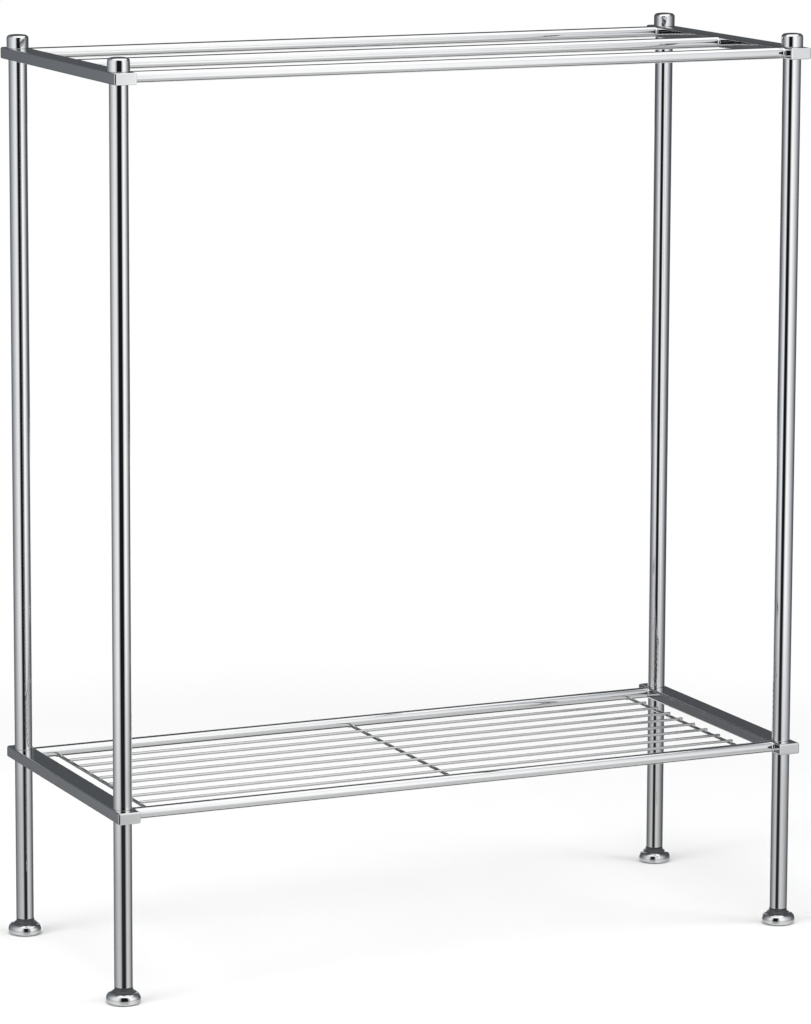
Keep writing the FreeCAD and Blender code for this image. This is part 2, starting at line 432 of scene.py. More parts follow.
@dataclass(frozen=True)
class Corner:
    """Corner of a turned outline, in metres, with the radius that eases it."""

    radius: float
    height: float
    ease: float = 0.0


def round_off(
    form: BMesh, geom: Sequence[BMVert] | Sequence[BMEdge], reach: float, segments: int = EASE_SEGMENTS
) -> None:
    """Round edges or corners of a form.

    Args:
        form: Form that holds them.
        geom: The edges, or the corners.
        reach: How far from them the rounding starts.
        segments: Steps across the rounding.
    """
    bmesh.ops.bevel(
        form,
        geom=geom,
        offset=reach,
        offset_type="OFFSET",
        segments=segments,
        profile=0.5,
        affect="VERTICES" if isinstance(geom[0], BMVert) else "EDGES",
        material=-1,
    )


def ease_corner(form: BMesh, corner: BMVert, radius: float) -> None:
    """Round one corner of a wire outline.

    Args:
        form: Outline that holds the corner.
        corner: Vertex between two edges.
        radius: Radius of the rounding.
    """
    arms = [edge.other_vert(corner).co - corner.co for edge in corner.link_edges]
    reach = radius / math.tan(arms[0].angle(arms[1]) / 2)
    round_off(form, [corner], reach, max(EASE_SEGMENTS, math.ceil(EASE_SEGMENTS_PER_MM * radius / MM)))


def turned(outline: Sequence[Corner], closed: bool = True, segments: int = ROUND_SEGMENTS) -> BMesh:
    """Turn an outline about Z.

    Args:
        outline: Corners in order, on the axis or beside it.
        closed: Whether the last corner joins the first.
        segments: Steps in the full turn.

    Returns:
        The turned form, facing outwards.
    """
    form = bmesh.new()
    corners = [form.verts.new((corner.radius, 0.0, corner.height)) for corner in outline]
    ends = corners[1:] + corners[:1] if closed else corners[1:]
    for start, end in zip(corners, ends):
        form.edges.new((start, end))
    for vertex, corner in zip(corners, outline):
        if corner.ease > 0:
            ease_corner(form, vertex, corner.ease)
    bmesh.ops.spin(
        form,
        geom=form.verts[:] + form.edges[:],
        cent=(0, 0, 0),
        axis=UP,
        angle=math.tau,
        steps=segments,
        use_merge=True,
    )
    bmesh.ops.remove_doubles(form, verts=form.verts[:], dist=MERGE_DISTANCE)
    bmesh.ops.recalc_face_normals(form, faces=form.faces[:])
    return form


def pipe(length: float, radius: float, wall: float, ease: float) -> BMesh:
    """Build an upright round tube about the origin.

    Args:
        length: Its length.
        radius: Its outer radius.
        wall: Thickness of its wall.
        ease: Radius that rounds its outer edges.

    Returns:
        The tube.
    """
    half = length / 2
    inner = radius - wall
    outline = [
        Corner(inner, -half),
        Corner(radius, -half, ease),
        Corner(radius, half, ease),
        Corner(inner, half),
    ]
    return turned(outline)


def lay(form: BMesh, middle: Vector, axis: Axis = Axis.Z) -> BMesh:
    """Turn an upright form along an axis and move it to its place.

    Args:
        form: Form on the Z axis about the origin.
        middle: Where its origin goes.
        axis: Direction that its Z axis takes.

    Returns:
        The same form.
    """
    bmesh.ops.rotate(form, cent=(0, 0, 0), matrix=axis.value, verts=form.verts[:])
    bmesh.ops.translate(form, vec=middle, verts=form.verts[:])
    return form


def gathered(forms: Iterable[BMesh]) -> BMesh:
    """Gather several forms into one.

    Args:
        forms: Forms in their places; each is freed.

    Returns:
        One form that holds them all.
    """
    whole = bmesh.new()
    holder = bpy.data.meshes.new("holder")
    for form in forms:
        form.to_mesh(holder)
        form.free()
        whole.from_mesh(holder)
    bpy.data.meshes.remove(holder)
    return whole


def block(size: Vector, corner_radius: float) -> BMesh:
    """Box about the origin with its four edges along Y rounded.

    Args:
        size: Lengths of its edges.
        corner_radius: Radius of the rounded edges.

    Returns:
        The rounded box.
    """
    form = bmesh.new()
    bmesh.ops.create_cube(form, size=1.0)
    bmesh.ops.scale(form, vec=size, verts=form.verts[:])
    lengthwise = [e for e in form.edges if abs(e.verts[0].co.y - e.verts[1].co.y) > size.y / 2]
    round_off(form, lengthwise, corner_radius)
    form.normal_update()
    return form


def set_up(name: str, form: BMesh, finish: Finish) -> Object:
    """Make an object of a form and put it in the scene.

    Args:
        name: Name of the object.
        form: Its shape; it is freed.
        finish: Its finish.

    Returns:
        The object, at the origin with its place in its mesh.
    """
    mesh = bpy.data.meshes.new(name)
    form.to_mesh(mesh)
    form.free()
    mesh.materials.append(finish.material())
    made = bpy.data.objects.new(name, mesh)
    bpy.context.scene.collection.objects.link(made)
    return made


@dataclass
class Piece:
    """A finished piece: its form, its finish, and what it stands for on the frame."""

    name: str
    form: BMesh
    finish: Finish
    slot: Slot
    body: str
    nodes: tuple[str, ...] = ()


class SubAssembly(ABC):
    """Pieces of the stand that are made and dressed together."""

    @abstractmethod
    def build(self) -> Iterator[Piece]:
        """Build the forms of the pieces one by one."""

    def remake(self, node: str, form: BMesh, finish: Finish, slot: Slot) -> Piece:
        """Name a form as the finished piece of one node of the frame."""
        return Piece(f"{node}_finished", form, finish, slot, frame["nodes"][node]["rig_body"], (node,))

    def dress(self, piece: Piece) -> Object:
        """Make a piece's object, with its finish, on the body that carries it.

        Args:
            piece: The piece; its form is freed.

        Returns:
            The object, at the origin with its place in its mesh.
        """
        made = set_up(piece.name, piece.form, piece.finish)
        made.data.shade_smooth()
        made.data.set_sharp_from_angle(angle=SHARP_ANGLE)
        # Broad faces keep their true normals, so that a reflection bends only on the eased edges.
        evened = made.modifiers.new("even_shading", "WEIGHTED_NORMAL")
        evened.keep_sharp = True
        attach(made, piece.body)
        if piece.nodes:
            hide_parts(*piece.nodes)
        return made


@dataclass
class Uprights(SubAssembly):
    """Posts and legs in round tube."""

    wall_mm: float = 1.2
    end_ease_mm: float = 0.4

    def tube(self, extent: Extent) -> BMesh:
        """Build one upright tube.

        Args:
            extent: Extent of its node.

        Returns:
            The tube in its place.
        """
        form = pipe(extent.size.z, extent.size.x / 2, self.wall_mm * MM, self.end_ease_mm * MM)
        return lay(form, extent.middle)

    def build(self) -> Iterator[Piece]:
        """Build the posts and legs one by one.

        Returns:
            The posts, then the legs.
        """
        for kind in ("post", "leg"):
            for corner in CORNERS:
                node = f"{kind}_{corner}"
                yield self.remake(node, self.tube(Extent.of(node)), UPRIGHT_CHROME, Slot.TUBE)


@dataclass
class EndBars(SubAssembly):
    """Rectangular bars at both ends of the top and of the shelf, with the plates that close them."""

    wall_mm: float = 1.2
    corner_radius_mm: float = 1.6
    plate_ease_mm: float = 0.7
    plate_crown_mm: float = 0.15
    crown_step_mm: float = 0.4
    crown_steps: int = 2

    def bar(self, extent: Extent) -> BMesh:
        """Build one bar as an open rectangular tube.

        Args:
            extent: Extent of its node.

        Returns:
            The bar in its place.
        """
        form = block(extent.size, self.corner_radius_mm * MM)
        ends = [face for face in form.faces if abs(face.normal.y) > END_FACING]
        bmesh.ops.delete(form, geom=ends, context="FACES_ONLY")
        bmesh.ops.recalc_face_normals(form, faces=form.faces[:])
        bmesh.ops.solidify(form, geom=form.faces[:], thickness=self.wall_mm * MM)
        return lay(form, extent.middle)

    def plate(self, extent: Extent, outward: int) -> BMesh:
        """Build one end plate with an eased edge and a faintly crowned face.

        Args:
            extent: Extent of its node.
            outward: Direction of its face along Y.

        Returns:
            The plate in its place.
        """
        form = block(extent.size, self.corner_radius_mm * MM)
        face = max(form.faces, key=lambda f: f.normal.y * outward)
        bmesh.ops.translate(form, vec=(0, -outward * self.plate_crown_mm * MM, 0), verts=face.verts[:])
        round_off(form, face.edges[:], self.plate_ease_mm * MM)
        form.normal_update()
        face = max(form.faces, key=lambda f: f.normal.y * outward * f.calc_area())
        for _ in range(self.crown_steps):
            bmesh.ops.inset_region(
                form,
                faces=[face],
                thickness=self.crown_step_mm * MM,
                depth=self.plate_crown_mm * MM / self.crown_steps,
                use_even_offset=True,
                use_boundary=True,
            )
        return lay(form, extent.middle)

    def build(self) -> Iterator[Piece]:
        """Build the bars and their end plates one by one.

        Returns:
            Each bar, followed by its end plates.
        """
        for level in ("top", "shelf"):
            for side in Side:
                node = f"{level}_bar_{side.value}"
                yield self.remake(node, self.bar(Extent.of(node)), BAR_CHROME, Slot.BAR)
                for depth in Depth:
                    node = f"{level}_bar_end_{depth.value}_{side.value}"
                    form = self.plate(Extent.of(node), depth.sign)
                    yield self.remake(node, form, PLATE_CHROME, Slot.BAR)


@dataclass
class Rails(SubAssembly):
    """Hanging rails and shelf rails, with the weld beads that hold them to the bars."""

    wall_mm: float = 1.0
    end_ease_mm: float = 0.2
    bead_leg_mm: float = 1.3
    bead_root_mm: float = 0.4
    # The bead's belly, its rounding and its run along the rail go by its leg.
    bead_belly: float = 0.6
    bead_rounding: float = 0.5
    bead_run: float = 1.2

    NODES = (
        "hanging_rail_front",
        "hanging_rail_middle",
        "hanging_rail_back",
        "shelf_rail_front",
        "shelf_rail_back",
    )

    def rail(self, extent: Extent) -> BMesh:
        """Build one rail.

        Args:
            extent: Extent of its node.

        Returns:
            The rail in its place.
        """
        form = pipe(extent.size.x, extent.size.z / 2, self.wall_mm * MM, self.end_ease_mm * MM)
        return lay(form, extent.middle, Axis.X)

    def bead(self, extent: Extent, side: Side) -> BMesh:
        """Build the weld bead at one end of a rail, drawn in above and below to the height of the bar.

        Args:
            extent: Extent of the rail's node.
            side: End of the rail.

        Returns:
            The bead in its place.
        """
        rail_radius = extent.size.z / 2
        leg = self.bead_leg_mm * MM
        inner = rail_radius - self.bead_root_mm * MM
        outer = rail_radius + leg
        belly = leg * self.bead_belly
        run = leg * self.bead_run
        outline = [
            Corner(inner, 0.0),
            Corner(outer, 0.0),
            Corner(rail_radius + belly, belly, leg * self.bead_rounding),
            Corner(rail_radius, run),
            Corner(inner, run),
        ]
        form = turned(outline)
        bmesh.ops.scale(form, vec=(rail_radius / outer, 1.0, -side.sign), verts=form.verts[:])
        bmesh.ops.recalc_face_normals(form, faces=form.faces[:])
        end = Vector((side.sign * extent.size.x / 2, 0, 0))
        return lay(form, extent.middle + end, Axis.X)

    def build(self) -> Iterator[Piece]:
        """Build the rails and their weld beads.

        Returns:
            Each rail, followed by its beads.
        """
        for node in self.NODES:
            extent = Extent.of(node)
            rail = self.remake(node, self.rail(extent), RAIL_CHROME, Slot.TUBE)
            yield rail
            beads = gathered(self.bead(extent, side) for side in Side)
            yield Piece(f"{node}_weld_beads", beads, WELD_CHROME, Slot.TUBE, rail.body)


@dataclass
class WireShelf(SubAssembly):
    """Long wires on three cross wires, with the welds at their crossings."""

    end_ease_mm: float = 1.0
    nugget_radius_mm: float = 1.7
    nugget_height_mm: float = 1.0
    # The nugget's flat goes by its radius, and its roundings by half its height.
    nugget_flat: float = 0.7
    nugget_flat_rounding: float = 0.5
    nugget_rim_rounding: float = 0.4
    collar_leg_mm: float = 1.0
    # The collar's root goes by the wire's radius, and the rest of it by its leg.
    collar_root: float = 0.8
    collar_belly: float = 0.5
    collar_rounding: float = 0.6
    collar_run: float = 2.2
    long_wires: int = 8

    CROSS_WIRES = ("left", "centre", "right")

    def wire(self, extent: Extent, axis: Axis) -> BMesh:
        """Build one wire.

        Args:
            extent: Extent of its node.
            axis: Direction that it runs along.

        Returns:
            The wire in its place.
        """
        radius = min(extent.size) / 2
        half = max(extent.size) / 2
        ease = self.end_ease_mm * MM
        outline = [
            Corner(0, -half),
            Corner(radius, -half, ease),
            Corner(radius, half, ease),
            Corner(0, half),
        ]
        return lay(turned(outline, closed=False, segments=WIRE_SEGMENTS), extent.middle, axis)

    def nugget(self, place: Vector) -> BMesh:
        """Build the metal squeezed out at one crossing.

        Args:
            place: Middle of the contact between the two wires.

        Returns:
            The nugget in its place.
        """
        radius = self.nugget_radius_mm * MM
        half = self.nugget_height_mm * MM / 2
        flat = radius * self.nugget_flat
        flat_ease = half * self.nugget_flat_rounding
        outline = [
            Corner(0, -half),
            Corner(flat, -half, flat_ease),
            Corner(radius, 0.0, half * self.nugget_rim_rounding),
            Corner(flat, half, flat_ease),
            Corner(0, half),
        ]
        return lay(turned(outline, closed=False, segments=WIRE_SEGMENTS), place)

    def collar(self, extent: Extent, depth: Depth) -> BMesh:
        """Build the weld round one end of a cross wire, where it meets a rail.

        Args:
            extent: Extent of the cross wire's node.
            depth: End of the wire.

        Returns:
            The collar in its place.
        """
        wire_radius = extent.size.x / 2
        leg = self.collar_leg_mm * MM
        root = wire_radius * self.collar_root
        run = leg * self.collar_run
        outline = [
            Corner(root, -leg),
            Corner(wire_radius + leg, -leg),
            Corner(wire_radius + leg * self.collar_belly, leg, leg * self.collar_rounding),
            Corner(wire_radius, run),
            Corner(root, run),
        ]
        form = turned(outline, segments=WIRE_SEGMENTS)
        bmesh.ops.scale(form, vec=(1.0, 1.0, -depth.sign), verts=form.verts[:])
        bmesh.ops.recalc_face_normals(form, faces=form.faces[:])
        end = Vector((0, depth.sign * extent.size.y / 2, 0))
        return lay(form, extent.middle + end, Axis.Y)

    def build(self) -> Iterator[Piece]:
        """Build the long wires, the cross wires and their welds.

        Returns:
            The wires, then the welds.
        """
        long_nodes = [f"shelf_wire_{index + 1}" for index in range(self.long_wires)]
        cross_nodes = [f"shelf_cross_wire_{place}" for place in self.CROSS_WIRES]
        long_extents = [Extent.of(node) for node in long_nodes]
        cross_extents = [Extent.of(node) for node in cross_nodes]
        for node, extent in zip(long_nodes, long_extents):
            yield self.remake(node, self.wire(extent, Axis.X), LONG_WIRE_CHROME, Slot.WIRE)
        for node, extent in zip(cross_nodes, cross_extents):
            yield self.remake(node, self.wire(extent, Axis.Y), CROSS_WIRE_CHROME, Slot.WIRE)
        body = frame["nodes"][cross_nodes[0]]["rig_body"]
        contact = (long_extents[0].low.z + cross_extents[0].high.z) / 2
        places = [
            Vector((across.middle.x, along.middle.y, contact))
            for across in cross_extents
            for along in long_extents
        ]
        nuggets = gathered(self.nugget(place) for place in places)
        yield Piece("shelf_weld_nuggets", nuggets, WELD_CHROME, Slot.WIRE, body)
        collars = gathered(self.collar(extent, depth) for extent in cross_extents for depth in Depth)
        yield Piece("shelf_weld_collars", collars, WELD_CHROME, Slot.WIRE, body)


@dataclass
class Caps(SubAssembly):
    """Domed caps above the top bars."""

    edge_radius_mm: float = 3.0
    crown_mm: float = 1.0
    # The crown starts this many edge radii in from the side.
    crown_inset: float = 1.2
    crown_points: int = 8
    foot_ease_mm: float = 0.5

    def cap(self, extent: Extent) -> BMesh:
        """Build one cap.

        Args:
            extent: Extent of its node.

        Returns:
            The cap in its place.
        """
        radius = extent.size.x / 2
        half = extent.size.z / 2
        crown = self.crown_mm * MM
        edge_radius = self.edge_radius_mm * MM
        reach = radius - edge_radius * self.crown_inset
        outline = [
            Corner(0, -half),
            Corner(radius, -half, self.foot_ease_mm * MM),
            Corner(radius, half - crown, edge_radius),
        ]
        for step in range(self.crown_points + 1):
            out = reach * (1 - step / self.crown_points)
            outline.append(Corner(out, half - crown * (out / radius) ** 2))
        return lay(turned(outline, closed=False), extent.middle)

    def build(self) -> Iterator[Piece]:
        """Build the caps one by one.

        Returns:
            The four caps.
        """
        for corner in CORNERS:
            node = f"cap_{corner}"
            yield self.remake(node, self.cap(Extent.of(node)), TURNED_CHROME, Slot.TURNED)


@dataclass
class LevellingFeet(SubAssembly):
    """Domed feet with their collars, the threaded spindles that carry them and the pads under them."""

    rim_height_mm: float = 4.0
    rim_ease_mm: float = 1.6
    shoulder_radius_mm: float = 5.0
    collar_radius_mm: float = 8.0
    collar_lip_mm: float = 0.6
    collar_lip_ease_mm: float = 0.2
    collar_ease_mm: float = 0.4
    # The flare stops just short of the rounded lip.
    flare_share: float = 0.99
    seat_clearance_mm: float = 0.02
    pad_ease_mm: float = 0.4
    groove_radii_mm: tuple[float, ...] = (10.5, 8.0, 5.5)
    groove_width_mm: float = 1.0
    groove_depth_mm: float = 0.4
    thread_pitch_mm: float = 1.25
    # The profile of a metric thread, as shares of the pitch.
    thread_depth: float = 0.6134
    root_flat: float = 1 / 4
    crest_flat: float = 1 / 8
    thread_steps: int = 24

    def seat(self, extent: Extent) -> tuple[float, float]:
        """Find the flat on top of a foot that its collar sits on.

        Args:
            extent: Extent of the foot's node.

        Returns:
            Radius and height of the flat.
        """
        shoulder = self.shoulder_radius_mm * MM
        return extent.size.x / 2 - shoulder, extent.low.z + self.rim_height_mm * MM + shoulder

    def foot(self, extent: Extent, pad: Extent, spindle: Extent) -> BMesh:
        """Build one foot with its bore and the recess for its pad.

        Args:
            extent: Extent of the foot's node.
            pad: Extent of the pad's node.
            spindle: Extent of the spindle's node.

        Returns:
            The foot in its place.
        """
        radius = extent.size.x / 2
        clearance = self.seat_clearance_mm * MM
        recess = pad.size.x / 2 + clearance
        bore = spindle.size.x / 2 + clearance
        _, seat_height = self.seat(extent)
        outline = [
            Corner(0, pad.high.z),
            Corner(recess, pad.high.z),
            Corner(recess, extent.low.z),
            Corner(radius, extent.low.z, self.rim_ease_mm * MM),
            Corner(radius, seat_height, self.shoulder_radius_mm * MM),
            Corner(bore, seat_height),
            Corner(bore, spindle.low.z),
            Corner(0, spindle.low.z),
        ]
        return lay(turned(outline, closed=False), Vector((extent.middle.x, extent.middle.y, 0)))

    def collar(self, extent: Extent, spindle: Extent) -> BMesh:
        """Build one collar, flared from the leg's width to the foot.

        Args:
            extent: Extent of the foot's node.
            spindle: Extent of the spindle's node.

        Returns:
            The collar in its place.
        """
        collar = self.collar_radius_mm * MM
        bore = spindle.size.x / 2 + self.seat_clearance_mm * MM
        lip_ease = self.collar_lip_ease_mm * MM
        seat_radius, seat_height = self.seat(extent)
        lip_height = seat_height + self.collar_lip_mm * MM
        outline = [
            Corner(bore, seat_height),
            Corner(seat_radius, seat_height),
            Corner(seat_radius, lip_height, lip_ease),
            Corner(collar, lip_height, (seat_radius - collar - lip_ease) * self.flare_share),
            Corner(collar, extent.high.z, self.collar_ease_mm * MM),
            Corner(bore, extent.high.z),
        ]
        return lay(turned(outline), Vector((extent.middle.x, extent.middle.y, 0)))

    def pad(self, extent: Extent) -> BMesh:
        """Build one pad with its ring grooves.

        Args:
            extent: Extent of its node.

        Returns:
            The pad in its place.
        """
        radius = extent.size.x / 2
        height = extent.size.z
        depth = self.groove_depth_mm * MM
        half_width = self.groove_width_mm * MM / 2
        outline = [Corner(0, height), Corner(radius, height), Corner(radius, 0, self.pad_ease_mm * MM)]
        for middle_mm in self.groove_radii_mm:
            middle = middle_mm * MM
            outline.append(Corner(middle + half_width, 0))
            outline.append(Corner(middle + half_width, depth))
            outline.append(Corner(middle - half_width, depth))
            outline.append(Corner(middle - half_width, 0))
        outline.append(Corner(0, 0))
        place = Vector((extent.middle.x, extent.middle.y, extent.low.z))
        return lay(turned(outline, closed=False), place)

    def spindle(self, extent: Extent) -> BMesh:
        """Build one threaded spindle.

        Args:
            extent: Extent of its node.

        Returns:
            The spindle in its place, with a true helical thread.
        """
        pitch = self.thread_pitch_mm * MM
        crest = extent.size.x / 2
        root = crest - self.thread_depth * pitch
        # One turn more at each end is cut off flat.
        turns = math.ceil(extent.size.z / pitch) + 2
        start = -pitch
        flank = (1 - self.root_flat - self.crest_flat) / 2
        tooth = [
            (root, 0.0),
            (root, self.root_flat),
            (crest, self.root_flat + flank),
            (crest, 1 - flank),
            (root, 1.0),
        ]
        form = bmesh.new()
        points = [form.verts.new((out, 0.0, start + along * pitch)) for out, along in tooth]
        for first, second in zip(points, points[1:]):
            form.edges.new((first, second))
        bmesh.ops.spin(
            form,
            geom=form.verts[:] + form.edges[:],
            cent=(0, 0, 0),
            axis=UP,
            dvec=(0, 0, pitch / self.thread_steps),
            angle=math.tau * turns,
            steps=self.thread_steps * turns,
        )
        bmesh.ops.remove_doubles(form, verts=form.verts[:], dist=MERGE_DISTANCE)
        for height, outward in ((0.0, -1), (extent.size.z, 1)):
            bmesh.ops.bisect_plane(
                form,
                geom=form.verts[:] + form.edges[:] + form.faces[:],
                dist=MERGE_DISTANCE,
                plane_co=(0, 0, height),
                plane_no=(0, 0, outward),
                clear_outer=True,
            )
            open_edges = [
                edge
                for edge in form.edges
                if edge.is_boundary and abs(edge.verts[0].co.z - height) < CUT_TOLERANCE
            ]
            bmesh.ops.holes_fill(form, edges=open_edges)
        bmesh.ops.recalc_face_normals(form, faces=form.faces[:])
        return lay(form, Vector((extent.middle.x, extent.middle.y, extent.low.z)))

    def build(self) -> Iterator[Piece]:
        """Build the feet, collars, spindles and pads one by one.

        Returns:
            Each foot, followed by what goes with it.
        """
        for corner in CORNERS:
            nodes = [f"{part}_{corner}" for part in ("foot", "foot_spindle", "foot_pad")]
            foot, spindle, pad = (Extent.of(node) for node in nodes)
            dome = self.remake(nodes[0], self.foot(foot, pad, spindle), TURNED_CHROME, Slot.TURNED)
            yield dome
            collar = self.collar(foot, spindle)
            yield Piece(f"foot_collar_{corner}", collar, COLLAR_RUBBER, Slot.RUBBER, dome.body)
            yield self.remake(nodes[1], self.spindle(spindle), ZINC, Slot.ZINC)
            yield self.remake(nodes[2], self.pad(pad), PAD_RUBBER, Slot.RUBBER)


@dataclass
class HiddenHardware:
    """Inserts and studs inside the tubes, which keep the frame's own shapes."""

    nodes: tuple[str, ...] = (
        "post_top_inserts",
        "post_bottom_inserts",
        "leg_top_inserts",
        "leg_bottom_inserts",
        "leg_studs",
        "cap_studs",
    )

    def dress(self) -> Iterator[Object]:
        """Give each node its finish and return them one by one.

        Returns:
            Each node's object.
        """
        for node in self.nodes:
            part = frame["nodes"][node]
            part.data.materials.clear()
            part.data.materials.append(ZINC.material())
            yield part


# Studio


@dataclass(frozen=True)
class PhotoCamera:
    """Camera at the photograph's viewing angle."""

    position_mm: tuple[float, float, float] = (-1738.6, -3784.0, 1147.0)
    yaw_deg: float = 24.676
    pitch_deg: float = 9.13
    roll_deg: float = 0.225
    focal_px: float = 4800.0
    axis_px: tuple[float, float] = (405.5, 400.0)
    image_px: tuple[int, int] = (811, 1024)
    sensor_mm: float = 36.0
    clip_end_m: float = 100.0

    def place(self) -> Object:
        """Make the camera and look through it.

        Returns:
            The camera's object.
        """
        yaw, pitch, roll = (math.radians(a) for a in (self.yaw_deg, self.pitch_deg, self.roll_deg))
        run = math.cos(pitch)
        ahead = Vector((math.sin(yaw) * run, math.cos(yaw) * run, -math.sin(pitch)))
        level = Vector((math.cos(yaw), -math.sin(yaw), 0.0))
        upright = level.cross(ahead)
        right = math.cos(roll) * level + math.sin(roll) * upright
        above = math.cos(roll) * upright - math.sin(roll) * level
        width, height = self.image_px
        lens = bpy.data.cameras.new("photo_camera")
        lens.sensor_width = self.sensor_mm
        lens.lens = self.focal_px * self.sensor_mm / height
        lens.shift_x = (width / 2 - self.axis_px[0]) / height
        lens.shift_y = (self.axis_px[1] - height / 2) / height
        lens.clip_end = self.clip_end_m
        camera = bpy.data.objects.new("photo_camera", lens)
        camera.matrix_world = Matrix.Translation(Vector(self.position_mm) * MM) @ Matrix(
            (right, above, -ahead)
        ).transposed().to_4x4()
        bpy.context.scene.collection.objects.link(camera)
        bpy.context.scene.camera = camera
        return camera


@dataclass(frozen=True)
class WallGlow(Finish):
    """Glow of the studio wall, by bearing round the stand and by height."""

    name: str = "studio_wall_glow"
    # The bearing is counted from the camera's side, positive to the right. A black flag stands on the
    # camera's side, a softbox falls off on each side of it, and the back is dim.
    camera_bearing_deg: float = -114.6
    levels: tuple[tuple[float, float], ...] = (
        (-180.0, 0.10),
        (-150.0, 0.11),
        (-123.0, 0.18),
        (-112.0, 0.25),
        (-101.0, 0.34),
        (-90.0, 0.48),
        (-75.0, 0.72),
        (-62.0, 0.94),
        (-51.0, 1.08),
        (-41.0, 1.07),
        (-35.0, 1.00),
        (-21.0, 0.012),
        (13.0, 0.012),
        (30.0, 1.20),
        (42.0, 1.30),
        (55.0, 1.15),
        (70.0, 0.87),
        (84.0, 0.60),
        (101.0, 0.28),
        (112.0, 0.16),
        (122.0, 0.11),
        (180.0, 0.10),
    )
    # The dim parts are a little cool.
    dim_tint: str = "#EAF1FB"
    # Down by the floor the light is weaker and evens out.
    low_strength: float = 0.78
    low_gamma: float = 0.7
    low_m: float = -0.10
    full_m: float = 0.12

    def surface(self, tree: NodeTree) -> NodeSocket:
        """Build the glow.

        Args:
            tree: Tree of the material.

        Returns:
            Output socket of the shader.
        """
        place = add_node(tree, "ShaderNodeTexCoord").outputs["Object"]
        turn = (0.0, 0.0, math.radians(-self.camera_bearing_deg))
        faced = add_node(
            tree, "ShaderNodeMapping", {"Vector": place, "Rotation": turn}
        ).outputs["Vector"]
        along = add_node(tree, "ShaderNodeSeparateXYZ", {"Vector": faced}).outputs
        bearing = add_node(
            tree, "ShaderNodeMath", {"Value": along["Y"], "Value_001": along["X"]}, operation="ARCTAN2"
        ).outputs["Value"]
        share = add_node(
            tree, "ShaderNodeMapRange", {"Value": bearing, "From Min": -math.pi, "From Max": math.pi}
        ).outputs["Result"]
        ramp = add_node(tree, "ShaderNodeValToRGB", {"Fac": share})
        stops = ramp.color_ramp.elements
        stops.remove(stops[-1])
        peak = max(level for _, level in self.levels)
        for index, (degrees, level) in enumerate(self.levels):
            position = degrees / FULL_TURN_DEG + 0.5
            stop = stops.new(position) if index else stops[0]
            stop.position = position
            part = level / peak
            stop.color = [part * (part + (1 - part) * tint) for tint in linear(self.dim_tint)]
        glow, gamma = (
            add_node(
                tree,
                "ShaderNodeMapRange",
                {
                    "Value": along["Z"],
                    "From Min": self.low_m,
                    "From Max": self.full_m,
                    "To Min": low,
                    "To Max": full,
                },
            ).outputs["Result"]
            for low, full in ((self.low_strength, peak), (self.low_gamma, 1.0))
        )
        evened = add_node(tree, "ShaderNodeGamma", {"Color": ramp.outputs["Color"], "Gamma": gamma})
        wall = add_node(tree, "ShaderNodeEmission", {"Color": evened.outputs["Color"], "Strength": glow})
        return wall.outputs["Emission"]


@dataclass(frozen=True)
class LevelGlow(Finish):
    """Glow of a level card above or below the stand, from its front to its back."""

    name: str
    height_m: float
    front: float
    back: float
    edge_m: tuple[float, float]
    tint: str = "#FFFFFF"

    def surface(self, tree: NodeTree) -> NodeSocket:
        """Build the glow.

        Args:
            tree: Tree of the material.

        Returns:
            Output socket of the shader.
        """
        place = add_node(tree, "ShaderNodeTexCoord").outputs["Object"]
        depth = add_node(tree, "ShaderNodeSeparateXYZ", {"Vector": place}).outputs["Y"]
        glow = add_node(
            tree,
            "ShaderNodeMapRange",
            {
                "Value": depth,
                "From Min": self.edge_m[0],
                "From Max": self.edge_m[1],
                "To Min": self.front,
                "To Max": self.back,
            },
        ).outputs["Result"]
        card = add_node(tree, "ShaderNodeEmission", {"Color": linear(self.tint), "Strength": glow})
        return card.outputs["Emission"]


@dataclass(frozen=True)
class BackGlow(Finish):
    """Softbox that stands behind the stand and lights its back."""

    name: str
    width_m: float
    low_m: float
    high_m: float
    bearing_deg: float = 65.4
    reach_m: float = 0.95
    glow: float = 1.10

    def surface(self, tree: NodeTree) -> NodeSocket:
        """Build the glow and return its output socket."""
        return add_node(tree, "ShaderNodeEmission", {"Strength": self.glow}).outputs["Emission"]


